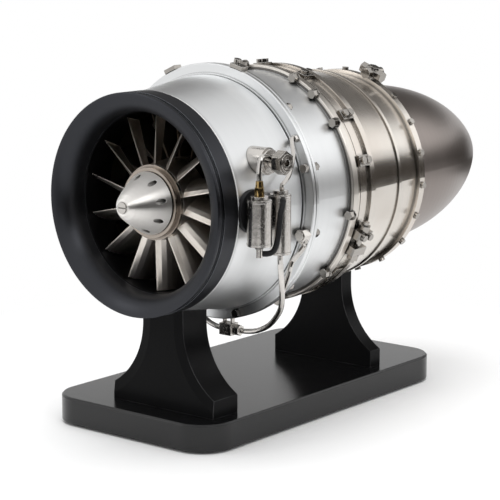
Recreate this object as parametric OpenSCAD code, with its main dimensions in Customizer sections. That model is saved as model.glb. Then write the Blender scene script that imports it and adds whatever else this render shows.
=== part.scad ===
// Small gas turbine on its display stand. The rotor axis runs along Y, with the intake towards -Y and
// the tail towards +Y. The origin lies on the floor, below the rotor axis, at mid length of the base plate.

/* [Stand] */
// Height of the rotor axis above the floor
axis_h = 236; // [228:1:260]
// Length of the base plate
plate_l = 400; // [360:1:460]
// Width of the base plate
plate_w = 213; // [190:1:250]
// Thickness of the base plate
plate_t = 26.3; // [18:0.1:32]
// Corner radius of the base plate
plate_r = 35; // [20:1:60]
// Bevel along the plate's top edge
plate_edge = 1.6; // [0.5:0.1:4]
// Distance from the rotor's plane to the plate's centre line
plate_shift = 24.5; // [0:0.5:35]
// Height of the rubber feet
foot_h = 3; // [2:0.5:5]
// Diameter of the rubber feet
foot_d = 13; // [8:1:24]
// Distance of each foot's centre from the plate's edges
foot_inset = 22; // [16:1:40]
// Width of a pedestal's foot
ped_w = 130; // [110:1:150]
// Width of a pedestal's neck
ped_neck = 52; // [40:1:70]
// Height of a pedestal's straight foot
ped_foot = 18; // [10:1:22]
// Radius of a pedestal's curved sides
ped_flare = 78; // [60:1:88]
// Width of the bevels on the front pedestal's face
ped_bevel = 10.5; // [4:0.5:14]
// Depth of those bevels
ped_bevel_d = 1.6; // [0.5:0.1:4]
// Place of the front pedestal's front face along the axis
front_ped_y = -171.5; // [-178:0.5:-160]
// Thickness of the front pedestal
front_ped_t = 37; // [24:0.5:44]
// Place of the rear pedestal's front face along the axis
rear_ped_y = 91; // [82:0.5:94]
// Thickness of the rear pedestal
rear_ped_t = 17.5; // [10:0.5:20]

/* [Intake] */
// Place of the intake lip's front edge along the axis
lip_y = -213; // [-218:1:-208]
// Length of the intake lip
lip_l = 27.7; // [24:0.1:32]
// Radius of the throat, which is also the fan's shroud
throat_r = 88.5; // [84:0.1:96]
// Radius of the lip's rolled mouth
bell_r = 18; // [12:0.1:22]
// Rounding of the lip's outer front edge
lip_nose = 1.2; // [0.6:0.1:3]
// Distance of the lip's groove behind the front edge
lip_groove_y = 3.4; // [2:0.1:8]
// Width of the lip's groove
lip_groove_w = 5; // [2:0.1:8]
// Depth of the lip's groove
lip_groove_d = 1.6; // [0.5:0.1:4]

/* [Casings] */
// Depth of the step from the lip down to the bright rim
rim_step = 0.5; // [0.2:0.1:1.5]
// Width of the bright rim
rim_w = 2.4; // [1:0.1:5]
// Depth of the step from the rim down to the front casing
front_step = 1.6; // [0.5:0.1:3]
// How much the front casing widens towards its flange
front_flare = 11.6; // [6:0.1:16]
// How much wider the bore is behind the fan than at the throat
shroud_step = 13.5; // [8:0.1:15]
// Place of the front flange's joint along the axis
flange_y = -92; // [-98:1:-86]
// Width of the front flange's bolting face
flange_rim = 9.6; // [9.4:0.1:14]
// Thickness of each half of the front flange
flange_t = 5; // [3:0.5:8]
// Bevel along the edges of both halves
flange_edge = 0.8; // [0.2:0.1:1.5]
// How far the step on the front flange's face stands out
flange_lip = 1.2; // [0.6:0.1:3]
// Height of that step
flange_step = 2.4; // [1:0.1:4]
// Groove between the front casing and its flange
flange_groove = 1.4; // [0.5:0.1:2.5]
// Depth of the step from the front casing's wide end down to the middle casing
mid_step = 0.7; // [0.2:0.1:2]
// Place of the middle casing's rear flange along the axis
mid_flange_y = -23; // [-30:1:-18]
// Thickness of that flange
mid_flange_t = 9; // [6:0.5:12]
// How far that flange stands out
mid_flange_out = 5.5; // [4:0.1:9]
// Wall of the middle and rear casings
wall = 3; // [2:0.1:4]
// How far the clamp band stands out from the middle casing
band_out = 2.3; // [1:0.1:4]
// Width of the clamp band ahead of its hoop
band_w = 22; // [18:0.5:28]
// How far the hoop stands out from the clamp band
hoop_out = 3; // [1.5:0.1:5]
// Width of the hoop
hoop_w = 7.5; // [5:0.5:10]
// Length of the hot casing
hot_l = 57.5; // [50:0.5:64]
// Depth of the step from the middle casing's radius down to the hot casing
hot_step = 0.9; // [0.2:0.1:2]
// How much the hot casing narrows towards the tail
hot_taper = 6; // [2:0.1:9]
// How far the raised ring behind the hot casing stands out
ring_out = 1.6; // [0.5:0.1:4]
// Width of the raised ring
ring_w = 4; // [2:0.5:8]
// Length of the rear casing behind the raised ring
rear_l = 38; // [34:0.5:42]
// Depth of the step from the hot casing's end down to the rear casing
rear_step = 1.2; // [0.2:0.1:2]
// How much the rear casing narrows towards the tail
rear_taper = 4.4; // [1:0.1:8]
// How far the rear flange stands out
rear_flange_out = 4.6; // [3:0.1:8]
// Thickness of the rear flange
rear_flange_t = 9; // [7:0.5:12]

/* [Tail] */
// Depth of the step from the rear casing down to the tail shell
dome_step = 15.1; // [8:0.1:20]
// Length of the tail shell
dome_l = 208; // [180:1:240]
// Radius of the outlet at the tail's end
outlet_r = 38.8; // [30:0.1:46]
// Wall of the tail shell
dome_wall = 2.4; // [1.5:0.1:4]
// How late the tail shell curves in
dome_power = 2.64; // [2:0.01:3.2]
// Thickness of the tail shell's flange
dome_flange_t = 4; // [2.5:0.5:6]
// Length of the tail cone
cone_l = 104; // [80:1:130]

/* [Rotor] */
// Number of fan blades
fan_count = 14; // [10:1:18]
// Radius of the fan's hub at its front
hub_r = 36.5; // [33:0.1:39]
// Radius of the fan's hub at its rear
hub_rear_r = 40; // [38:0.1:44]
// Place of the fan hub's front face along the axis
hub_y = -188; // [-191:0.5:-186]
// Length of the fan's hub
hub_l = 39.5; // [37:0.5:42]
// Distance of the blade roots' leading edges behind the hub's front face
blade_set = 8.5; // [8.5:0.5:10]
// How far the blade tips lean back behind their roots
blade_lean = 2; // [0:0.5:5]
// Chord of the blades at the root
root_chord = 30; // [22:0.5:33]
// Chord of the blades at the tip
tip_chord = 31; // [24:0.5:33]
// Thickness of the blades at the root
root_t = 3.4; // [2:0.1:5]
// Thickness of the blades at the tip
tip_t = 1.7; // [1:0.1:3]
// Gap between the blade tips and the throat
tip_gap = 1.3; // [0.6:0.1:3]
// Length of the spinner
spinner_l = 37.5; // [28:0.5:44]
// Radius of the spinner's base
spinner_r = 30.5; // [29:0.1:33]
// Radius of the spinner's flat tip
spinner_tip_r = 8; // [7.4:0.1:10]
// Number of counterbored holes round the spinner
spinner_holes = 8; // [4:1:10]
// Radius of those holes
spinner_hole_r = 2.5; // [1.5:0.1:3.2]
// Radius of the circle that those holes lie on
spinner_hole_pcr = 25.5; // [20:0.5:26]
// Radius of the spinner's bolt head
spinner_bolt_r = 5.4; // [4:0.1:6]
// Radius of the main shaft
shaft_r = 9; // [7:0.1:10]
// Place of the turbine wheel along the axis
turbine_y = 58; // [56:0.5:62]
// Width of the turbine wheel's rim
turbine_w = 18; // [14:0.5:20]
// Radius of the turbine wheel's hub
turbine_hub_r = 46; // [40:0.5:50]
// Radius of the turbine blades' tips
turbine_r = 74; // [68:0.5:78]
// Number of turbine blades
turbine_count = 26; // [16:1:32]

/* [Bearings and stators] */
// Outer radius of the shaft bearings
bearing_r = 15; // [13:0.5:17]
// Width of the shaft bearings
bearing_w = 10; // [7:0.5:14]
// Wall of the shaft tunnel
tunnel_wall = 4; // [2.5:0.5:6]
// Number of stator vanes behind the fan
stator_count = 17; // [11:1:21]
// Place of the stator ring along the axis
stator_y = -140; // [-143:1:-136]
// Length of the stator ring
stator_l = 26; // [20:1:30]
// Thickness of the stator vanes
stator_t = 2; // [1.2:0.1:3]
// Number of nozzle vanes ahead of the turbine
nozzle_count = 19; // [13:1:25]
// Length of the nozzle ring
nozzle_l = 16; // [12:0.5:18]

/* [Fuel fittings] */
// Distance of the valves' axes outside the intake lip's radius
valve_gap = 14.3; // [13:0.1:20]
// Place of the front valve along the axis
valve_front_y = -172; // [-174:0.5:-170]
// Radius of the front valve
valve_front_r = 11.7; // [8:0.1:12.5]
// Height of the front valve's top above the rotor axis
valve_front_top = 13; // [8:0.5:16]
// Length of the front valve
valve_front_h = 43; // [34:0.5:50]
// Place of the rear valve along the axis
valve_rear_y = -140.5; // [-143:0.5:-138]
// Radius of the rear valve
valve_rear_r = 10; // [8:0.1:10.5]
// Height of the rear valve's top above the rotor axis
valve_rear_top = 15; // [10:0.5:18]
// Length of the rear valve
valve_rear_h = 57; // [46:0.5:62]
// Radius of the round pad behind the front valve
pad_r = 20.5; // [16:0.5:22]
// Place of that pad along the axis
pad_y = -164.5; // [-167:0.5:-163]
// Radius of the union's drum
drum_r = 13; // [10:0.1:15]
// Place of the union along the axis
drum_y = -147.5; // [-150:0.5:-146]
// Height of the union above the rotor axis
drum_up = 45.5; // [42:0.5:50]
// Distance of the union drum's face outside the intake lip's radius
drum_gap = 8.5; // [8:0.1:9]
// Radius of the union's barrel
barrel_r = 5.2; // [4.4:0.1:6]
// Length of the union's barrel
barrel_l = 8; // [7:0.5:12]
// Radius of the union nut across its corners
nut_r = 11.4; // [9:0.1:13]
// Length of the union nut
nut_l = 10; // [6:0.5:14]
// Radius of the union nut's bore
nut_bore_r = 3.4; // [2:0.1:5]
// Radius of the elbow tube
elbow_r = 2.8; // [2.2:0.1:3.2]
// Radius of the fuel pipes
pipe_r = 2.7; // [2:0.1:3.2]
// Radius of the black coated pipe
loop_r = 2.7; // [2:0.1:3]
// Radius of the thin line
line_r = 2.2; // [1.5:0.1:2.5]

/* [Hidden] */

// Facets of round solids and of swept tubes
$fn = 96;
tube_sides = 10;
wide_sides = 240;

// Clearances: a static seat, a press seat on the shaft, a running fit, and the overrun of cuts
seat_gap = 0.15;
press_gap = 0.05;
run_gap = 0.05;
over = 1;

// Radii of the casings, each from the one ahead of it
lip_r = throat_r + bell_r + lip_nose;
rim_r = lip_r - rim_step;
front_r = rim_r - front_step;
front_flare_r = front_r + front_flare;
front_bore_r = throat_r + shroud_step;
flange_step_r = front_flare_r + flange_lip;
flange_r = flange_step_r + flange_rim;
mid_r = front_flare_r - mid_step;
mid_flange_r = mid_r + mid_flange_out;
band_r = mid_r + band_out;
hoop_r = band_r + hoop_out;
hot_front_r = mid_r - hot_step;
hot_rear_r = hot_front_r - hot_taper;
ring_r = hot_rear_r + ring_out;
rear_front_r = hot_rear_r - rear_step;
rear_rear_r = rear_front_r - rear_taper;
rear_flange_r = rear_rear_r + rear_flange_out;
dome_r = rear_rear_r - dome_step;

// Places of the fuel fittings, outside the lip
valve_out = lip_r + valve_gap;
drum_out = lip_r + drum_gap;

// Stations along the axis
front_y = lip_y + lip_l;
plate_top = foot_h + plate_t;
band_y = mid_flange_y + mid_flange_t;
hoop_y = band_y + band_w;
hot_y = hoop_y + hoop_w;
ring_y = hot_y + hot_l;
rear_y = ring_y + ring_w;
rear_flange_y = rear_y + rear_l;
dome_y = rear_flange_y + rear_flange_t;
dome_end = dome_y + dome_l;
hub_end = hub_y + hub_l;
hub_ring_l = 8;
collar_y = hub_y + hub_ring_l;
shaft_end_wall = 3;
shaft_y0 = collar_y + shaft_end_wall;
turbine_end = turbine_y + turbine_w;
nut_h = 8;
shaft_y1 = turbine_end + nut_h;
fan_tip_r = throat_r - tip_gap;

// Outer radius of the front casing at a place along the axis
function front_at(y) = front_r + (front_flare_r - front_r) * (y - front_y - rim_w) /
    (flange_y - flange_t - flange_step - front_y - rim_w);
// Outer radius of the hot casing at a place along the axis
function hot_at(y) = hot_front_r + (hot_rear_r - hot_front_r) * (y - hot_y) / hot_l;
// Outer radius of the rear casing at a place along the axis
function rear_at(y) = rear_front_r + (rear_rear_r - rear_front_r) * (y - rear_y) / rear_l;
// Outer radius of the tail shell at a share of its length
function dome_at(s) = dome_r - (dome_r - outlet_r) * pow(s, dome_power);

// Colours
black = [0.09, 0.09, 0.1];
rubber = [0.05, 0.05, 0.05];
lip_black = [0.16, 0.17, 0.19];
silver = [0.79, 0.79, 0.8];
steel = [0.72, 0.71, 0.69];
nickel = [0.7, 0.67, 0.61];
bronze = [0.5, 0.46, 0.43];
brass = [0.72, 0.58, 0.32];

// Moves children up to the rotor axis
module on_axis() translate([0, 0, axis_h]) children();
// Turns a profile of [radius, place along Y] round the rotor axis
module revolve_y() on_axis() rotate([-90, 0, 0]) rotate_extrude() children();
// Places children at a clock angle from +X towards +Z, with X pointing outwards
module at_clock(angle, r, y) on_axis() rotate([0, -angle, 0]) translate([r, y, 0]) children();
// A cylinder along +Y from the given place
module rod_y(y, l, r1, r2) on_axis() translate([0, y, 0]) rotate([-90, 0, 0])
    cylinder(h = l, r1 = r1, r2 = r2, $fn = wide_sides);
// A cylinder along +X
module rod_x(l, r) rotate([0, 90, 0]) cylinder(h = l, r = r);
// A hexagonal bar along Z, and one along +Y
module hex(l, r) cylinder(h = l, r = r, $fn = 6);
module hex_y(l, r) rotate([-90, 0, 0]) hex(l, r);

// Rings of points joined into one closed skin
module skin(rings) {
    n = len(rings);
    m = len(rings[0]);
    sides = [for (i = [0 : n - 2], j = [0 : m - 1])
        for (t = [[i * m + j, (i + 1) * m + j, i * m + (j + 1) % m],
                  [i * m + (j + 1) % m, (i + 1) * m + j, (i + 1) * m + (j + 1) % m]]) t];
    first = [for (j = [1 : m - 2]) [0, j, j + 1]];
    last = [for (j = [1 : m - 2]) [(n - 1) * m, (n - 1) * m + j + 1, (n - 1) * m + j]];
    polyhedron([for (r = rings, p = r) p], concat(sides, first, last));
}

// A smooth path through points, in steps between each pair
function spline(p, k) = concat([for (i = [0 : len(p) - 2], j = [0 : k - 1])
    spline_at(p[max(i - 1, 0)], p[i], p[i + 1], p[min(i + 2, len(p) - 1)], j / k)], [p[len(p) - 1]]);
function spline_at(a, b, c, d, t) = 0.5 * (2 * b + (c - a) * t + (2 * a - 5 * b + 4 * c - d) * t * t +
    (3 * b - a - 3 * c + d) * t * t * t);
function unit(v) = v / norm(v);
function tangent(p, i) = unit(p[min(i + 1, len(p) - 1)] - p[max(i - 1, 0)]);
function tube_ring(p, t, ref, r) = let (n = unit(cross(t, ref)), b = cross(t, n))
    [for (k = [0 : tube_sides - 1]) let (a = 360 * k / tube_sides) p + r * (cos(a) * n + sin(a) * b)];
// A round tube along a smooth path; ref is a direction that the path never follows
module tube(points, r, ref, steps = 3) {
    path = spline(points, steps);
    last = len(path) - 1;
    skin([for (i = [0 : last]) tube_ring(path[i], i == 0 ? unit(points[1] - points[0]) :
        i == last ? unit(points[len(points) - 1] - points[len(points) - 2]) : tangent(path, i), ref, r)]);
}

// Stand

module rounded_slab(w, l, t, r, edge) {
    translate([0, 0, 0]) slab_layer(w, l, r, 0, t - edge);
    translate([0, 0, t - edge]) slab_layer(w, l, r, edge, edge);
}
module slab_layer(w, l, r, inset, h) {
    rotate([90, 0, 90]) translate([0, 0, r - w / 2]) linear_extrude(w - 2 * r) taper(l, inset, h);
    rotate([90, 0, 0]) translate([0, 0, r - l / 2]) linear_extrude(l - 2 * r) taper(w, inset, h);
    for (x = [-1, 1], y = [-1, 1]) translate([x * (w / 2 - r), y * (l / 2 - r), 0])
        cylinder(h = h, r1 = r, r2 = r - inset);
}
module taper(w, inset, h) polygon([[-w / 2, 0], [w / 2, 0], [w / 2 - inset, h], [inset - w / 2, h]]);

module base_plate() color(black) translate([-plate_shift, 0, foot_h])
    rounded_slab(plate_w, plate_l, plate_t, plate_r, plate_edge);

// Four feet near the corners and one below the rotor axis
module rubber_feet() color(rubber) {
    foot();
    for (x = [-1, 1], y = [-1, 1])
        translate([x * (plate_w / 2 - foot_inset) - plate_shift, y * (plate_l / 2 - foot_inset), 0]) foot();
}
module foot() cylinder(h = foot_h, r1 = foot_d / 2 - foot_h / 4, r2 = foot_d / 2);

// A pedestal's flared block between two curved sides, before its saddle is cut
ped_side = (ped_w - ped_neck) / 2;
ped_foot_top = plate_top + ped_foot;
ped_flare_z = ped_foot_top + sqrt(ped_flare * ped_flare - (ped_flare - ped_side) * (ped_flare - ped_side));
module pedestal_block(y, t) translate([0, y, 0]) difference() {
    translate([-ped_w / 2, 0, plate_top]) cube([ped_w, t, axis_h - plate_top]);
    for (s = [-1, 1]) {
        translate([s * (ped_neck / 2 + ped_flare), -over, ped_flare_z])
            rotate([-90, 0, 0]) cylinder(h = t + 2 * over, r = ped_flare);
        translate([s * (ped_neck / 2 + ped_w / 2), t / 2, ped_flare_z + axis_h / 2])
            cube([ped_w, t + 2 * over, axis_h], center = true);
        translate([s * (ped_w / 2 + ped_flare), t / 2, ped_flare_z])
            cube([2 * ped_flare, t + 2 * over, 2 * (ped_flare_z - ped_foot_top)], center = true);
    }
}
// The shallow bevels that run down both edges of the front face
ped_clear = 0.06;
bevel_run = ped_bevel / ped_bevel_d;
module bevel_cut(s, x, run) polygon([[s * (x - (ped_bevel_d + over) * run), -over],
    [s * (x + 2 * over), -over], [s * (x + 2 * over), ped_bevel_d + 2 * over / run]]);
module pedestal_bevels(y) translate([0, y, 0]) {
    for (s = [-1, 1]) {
        translate([s * (ped_neck / 2 + ped_flare), -over, ped_flare_z]) rotate([-90, 0, 0])
            cylinder(h = ped_bevel_d + 2 * over, r1 = ped_flare + ped_bevel + over * bevel_run,
                r2 = ped_flare - over * bevel_run);
        translate([0, 0, ped_flare_z - over]) linear_extrude(axis_h - ped_flare_z + over)
            bevel_cut(s, ped_neck / 2 - ped_clear, bevel_run);
    }
}

module front_pedestal() color(black) difference() {
    pedestal_block(front_ped_y, front_ped_t);
    pedestal_bevels(front_ped_y);
    rod_y(front_y, flange_y - front_y, front_at(front_y) + seat_gap, front_at(flange_y) + seat_gap);
}

module rear_pedestal() color(black) difference() {
    pedestal_block(rear_ped_y, rear_ped_t);
    rod_y(rear_y, rear_l, rear_front_r + seat_gap, rear_rear_r + seat_gap);
}

// Intake and casings

module intake_lip() color(lip_black) revolve_y() difference() {
    union() {
        intersection() {
            translate([throat_r + bell_r, lip_y + bell_r]) circle(bell_r);
            translate([throat_r, lip_y]) square([bell_r, bell_r]);
        }
        translate([throat_r, lip_y + bell_r]) square([lip_r - throat_r, lip_l - bell_r]);
        translate([throat_r + bell_r, lip_y + lip_nose]) square([lip_nose, bell_r - lip_nose]);
        intersection() {
            translate([throat_r + bell_r, lip_y + lip_nose]) circle(lip_nose);
            translate([throat_r + bell_r, lip_y]) square([lip_nose, lip_nose]);
        }
    }
    translate([lip_r - lip_groove_d, lip_y + lip_groove_y]) square([lip_groove_d + over, lip_groove_w]);
}

// The shroud round the fan opens into the wider bore behind it over this share of the step
shroud_slope_share = 0.6;
shroud_end = stator_y - (front_bore_r - throat_r) * shroud_slope_share;
module front_casing() color(silver) revolve_y() difference() {
    polygon([[throat_r, front_y], [rim_r, front_y], [rim_r, front_y + rim_w], [front_r, front_y + rim_w],
        [front_flare_r, flange_y - flange_t - flange_step],
        [flange_step_r, flange_y - flange_t - flange_step],
        [flange_step_r, flange_y - flange_t], [flange_r - flange_edge, flange_y - flange_t],
        [flange_r, flange_y - flange_t + flange_edge], [flange_r, flange_y - flange_edge],
        [flange_r - flange_edge, flange_y], [front_bore_r, flange_y], [front_bore_r, stator_y],
        [throat_r, shroud_end]]);
    translate([front_flare_r - flange_groove, flange_y - flange_t - flange_step - flange_groove])
        square([flange_groove + over, flange_groove]);
}

module mid_casing() color(silver) revolve_y() polygon([[mid_r - wall, flange_y],
    [flange_r - flange_edge, flange_y], [flange_r, flange_y + flange_edge],
    [flange_r, flange_y + flange_t - flange_edge], [flange_r - flange_edge, flange_y + flange_t],
    [mid_r, flange_y + flange_t], [mid_r, mid_flange_y], [mid_flange_r - flange_edge, mid_flange_y],
    [mid_flange_r, mid_flange_y + flange_edge], [mid_flange_r, band_y - flange_edge],
    [mid_flange_r - flange_edge, band_y], [mid_r - wall, band_y]]);

// Hexagon bolts through the front flange: heads ahead of it and nuts behind it
flange_bolts_n = 12;
flange_bolt_pcr = (flange_step_r + flange_r) / 2;
flange_bolt_r = 4.6;
flange_head_h = 4.6;
flange_nut_h = 6;
flange_tip_h = 3;
flange_tip_r = 2.4;
flange_bolt_turn = 16;
pipe_fitting_turn = flange_bolt_turn - 360 / flange_bolts_n;
flush_slots = [1, 2, 3, 10, 11];
module flange_bolts() color(steel) for (k = [0 : flange_bolts_n - 1]) {
    a = flange_bolt_turn + 360 * k / flange_bolts_n;
    if (len(search(k, flush_slots)) == 0) at_clock(a, flange_bolt_pcr, flange_y - flange_t - flange_head_h)
        hex_y(flange_head_h, flange_bolt_r);
    at_clock(a, flange_bolt_pcr, flange_y + flange_t) {
        hex_y(flange_nut_h, flange_bolt_r);
        rotate([-90, 0, 0]) cylinder(h = flange_nut_h + flange_tip_h, r = flange_tip_r);
    }
}

// Bolts round the middle casing's rear flange
mid_bolt_turns = [66, 52.5, 35, -9.5, -42, -75, -108, -141, -174, 153, 126, 97];
mid_bolt_r = 4.8;
mid_bolt_h = 6.2;
mid_washer_h = 1;
mid_bolt_pcr = mid_r + seat_gap + mid_bolt_r + mid_washer_h / 2;
module mid_bolts() color(steel) for (a = mid_bolt_turns)
    at_clock(a, mid_bolt_pcr, mid_flange_y) {
        translate([0, -mid_washer_h - mid_bolt_h, 0]) hex_y(mid_bolt_h, mid_bolt_r);
        translate([0, -mid_washer_h, 0]) rotate([-90, 0, 0])
            cylinder(h = mid_washer_h, r = mid_bolt_r + mid_washer_h / 2);
    }

// The clamp band carries two fine grooves and a raised hoop
band_groove = 0.9;
band_groove_shares = [0.3, 0.86];
module clamp_band() color(nickel) revolve_y() difference() {
    polygon([[mid_r - wall, band_y], [band_r, band_y], [band_r, hoop_y], [hoop_r, hoop_y],
        [hoop_r, hot_y], [mid_r - wall, hot_y]]);
    for (s = band_groove_shares) translate([band_r - band_groove, band_y + s * band_w])
        square([band_groove + over, band_groove]);
}

// Clamp blocks on the band, each with two screws in a row along the axis
clamp_turns = [95, 68.5, 38.5, 15, 155, 215, 270];
clamp_w = 11;
clamp_l = 17;
clamp_h = 4;
clamp_top = clamp_h + clamp_h / 2;
clamp_screw_r = 3.6;
clamp_screw_h = 3.8;
clamp_screw_shares = [0.25, 0.75];
module band_clamps() color(steel) for (a = clamp_turns) difference() {
    at_clock(a, band_r - clamp_h / 2, hoop_y - clamp_l) {
        translate([0, 0, -clamp_w / 2]) cube([clamp_top, clamp_l, clamp_w]);
        for (s = clamp_screw_shares) translate([clamp_top, s * clamp_l, 0])
            rod_x(clamp_screw_h, clamp_screw_r);
    }
    rod_y(band_y - over, band_w + 2 * over, band_r + seat_gap, band_r + seat_gap);
}

// The band's latch: two ears drawn together by a cross bolt with nuts
latch_turn = -24;
latch_l = 20;
latch_ear = 9;
latch_gap = 9;
latch_h = 11;
latch_top = latch_h + latch_h / 2;
latch_bolt_r = 3.4;
latch_nut_r = 6.4;
latch_nut_h = 6;
latch_nut_z = (latch_gap + 2 * latch_ear + latch_nut_h) / 2;
latch_tip_share = 0.6;
latch_half = latch_gap / 2 + latch_ear + latch_nut_h * (1 + latch_tip_share);
module band_latch() color(steel) difference() {
    at_clock(latch_turn, band_r - latch_h / 2, hoop_y - latch_l - seat_gap) {
        for (s = [-1, 1]) {
            translate([0, 0, s * (latch_gap + latch_ear) / 2 - latch_ear / 2])
                cube([latch_top, latch_l, latch_ear]);
            translate([latch_h, latch_l / 2, s * latch_nut_z - latch_nut_h / 2])
                hex(latch_nut_h, latch_nut_r);
        }
        translate([latch_h, latch_l / 2, -latch_half]) cylinder(h = 2 * latch_half, r = latch_bolt_r);
        for (s = clamp_screw_shares) translate([latch_top, s * latch_l, (latch_gap + latch_ear) / 2])
            rod_x(clamp_screw_h, clamp_screw_r);
    }
    rod_y(band_y - over, band_w + over, band_r + seat_gap, band_r + seat_gap);
}

// A drilled strip under the band
strip_turn = 56;
strip_span = 26;
strip_t = 1.8;
strip_l = 12;
strip_hole_r = 1.9;
strip_holes = 4;
module band_strip() color(nickel) difference() {
    on_axis() translate([0, hoop_y - strip_l - seat_gap, 0]) rotate([-90, 0, 0])
        rotate([0, 0, strip_turn - strip_span / 2]) rotate_extrude(angle = strip_span)
            translate([band_r + seat_gap, 0]) square([strip_t, strip_l]);
    for (k = [0 : strip_holes - 1])
        at_clock(-strip_turn + strip_span * ((k + 1 / 2) / strip_holes - 1 / 2), band_r - over,
            hoop_y - strip_l / 2) rod_x(strip_t + seat_gap + 2 * over, strip_hole_r);
}

module hot_casing() color(nickel) revolve_y() polygon([[hot_front_r - wall, hot_y], [hot_front_r, hot_y],
    [hot_rear_r, ring_y], [hot_rear_r - wall, ring_y]]);

module rear_casing() color(nickel) revolve_y() polygon([[hot_rear_r - wall, ring_y], [ring_r, ring_y],
    [ring_r, rear_y], [rear_front_r, rear_y], [rear_rear_r, rear_flange_y], [rear_flange_r, rear_flange_y],
    [rear_flange_r, dome_y], [rear_rear_r - wall, dome_y], [rear_rear_r - wall, rear_flange_y]]);

// Screws set into the rim of the rear flange
rear_screws_n = 20;
rear_screw_r = 3.4;
rear_screw_h = 3;
rear_screw_turn = 14;
cross_slot = 3;
module rear_screws() color(steel) for (k = [0 : rear_screws_n - 1]) if (k != cross_slot)
    at_clock(rear_screw_turn + 360 * k / rear_screws_n, rear_flange_r + press_gap,
        rear_flange_y + rear_flange_t / 2) rod_x(rear_screw_h, rear_screw_r);

// Tail

dome_steps = 22;
function dome_y_at(s) = dome_y + dome_flange_t + (dome_l - dome_flange_t) * s;
module exhaust_shell() color(bronze) revolve_y() polygon(concat(
    [[rear_rear_r - wall, dome_y], [rear_rear_r - wall, dome_y + dome_flange_t]],
    [for (i = [0 : dome_steps]) if (i > 0 || dome_r < rear_rear_r - wall)
        [dome_at(i / dome_steps), dome_y_at(i / dome_steps)]],
    [for (i = [dome_steps : -1 : 0]) [dome_at(i / dome_steps) - dome_wall, dome_y_at(i / dome_steps)]],
    [[dome_r - dome_wall, dome_y]]));

// A pointed cone behind the turbine on three struts, inside a ring that seats in the tail shell
tail_ring_l = 20;
tail_ring_t = 2;
tail_struts = 3;
strut_t = 3;
cone_gap = 4;
cone_y = shaft_y1 + cone_gap;
cone_tip_r = 5;
tail_ring_y = dome_y + dome_flange_t;
tail_ring_r = dome_at(tail_ring_l / (dome_l - dome_flange_t)) - dome_wall - seat_gap;
cone_power = 1.7;
cone_steps = 10;
function cone_at(s) = turbine_hub_r - (turbine_hub_r - cone_tip_r) * pow(s, cone_power);
strut_r = cone_at((tail_ring_y + tail_ring_l - cone_y) / cone_l) - dome_wall;
module tail_cone() color(bronze) {
    revolve_y() polygon(concat(
        [for (i = [0 : cone_steps]) [cone_at(i / cone_steps), cone_y + cone_l * i / cone_steps]],
        [[0, cone_y + cone_l], [0, cone_y + cone_l - dome_wall]],
        [for (i = [cone_steps - 1 : -1 : 0])
            [cone_at(i / cone_steps) - dome_wall, cone_y + cone_l * i / cone_steps]]));
    revolve_y() translate([tail_ring_r - tail_ring_t, tail_ring_y]) square([tail_ring_t, tail_ring_l]);
    for (k = [0 : tail_struts - 1]) at_clock(90 + 360 * k / tail_struts, 0, tail_ring_y)
        translate([strut_r, 0, -strut_t / 2])
            cube([tail_ring_r - tail_ring_t / 2 - strut_r, tail_ring_l, strut_t]);
}

// Stators and bearings

stator_hub_r = hub_rear_r;
stator_ring_t = 3;
stator_hub_wall = 12;
stator_camber_angle = 20;
tunnel_r = bearing_r + tunnel_wall;
stator_out_r = front_bore_r - seat_gap - stator_ring_t;
module stator_ring() color(steel) {
    revolve_y() translate([bearing_r + press_gap, stator_y])
        square([stator_hub_r - bearing_r - press_gap, stator_l]);
    vanes(stator_count, stator_hub_r - root_sink, stator_out_r + stator_ring_t / 3, stator_y + vane_inset,
        stator_l - 2 * vane_inset, stator_t, stator_camber_angle);
    revolve_y() translate([stator_out_r, stator_y]) square([stator_ring_t, stator_l]);
}
// A ring of vanes between two radii
vane_inset = 0.6;
module vanes(n, r0, r1, y, l, t, lean) for (k = [0 : n - 1])
    at_clock(360 * (k + 1 / 2) / n, r0, y) rotate([0, 90, 0]) linear_extrude(r1 - r0) vane(l, t, lean);
// A curved vane's outline: a strip along Y that leans by an angle at its start
module vane(l, t, lean, n = 6) {
    function sway(s) = l * tan(lean) * (s - s * s / 2);
    polygon(concat([for (i = [0 : n]) [sway(i / n) - t / 2, l * i / n]],
        [for (i = [n : -1 : 0]) [sway(i / n) + t / 2, l * i / n]]));
}

// The tunnel round the shaft joins the stator's hub to the nozzle ring
nozzle_y = turbine_y - nozzle_l - cone_gap;
tunnel_y = stator_y + stator_l;
tunnel_end = nozzle_y + nozzle_l;
tunnel_lip = 6;
tunnel_bore_r = bearing_r - tunnel_wall / 2;
module shaft_tunnel() color(steel) revolve_y() difference() {
    union() {
        translate([tunnel_bore_r, tunnel_y]) square([tunnel_r - tunnel_bore_r, tunnel_end - tunnel_y]);
        translate([tunnel_bore_r, tunnel_y]) square([tunnel_r - tunnel_bore_r + tunnel_lip, tunnel_lip]);
    }
    translate([0, tunnel_end - bearing_w]) square([bearing_r + press_gap, bearing_w + over]);
}

module bearing(y) color(steel) revolve_y() difference() {
    translate([shaft_r + run_gap, y]) square([bearing_r - shaft_r - run_gap, bearing_w]);
    for (d = [-over, bearing_w - bearing_w / 8]) translate([(2 * shaft_r + bearing_r) / 3, y + d])
        square([(bearing_r - shaft_r) / 3, bearing_w / 8 + over]);
}
module front_bearing() bearing(stator_y);
module rear_bearing() bearing(tunnel_end - bearing_w);

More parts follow.
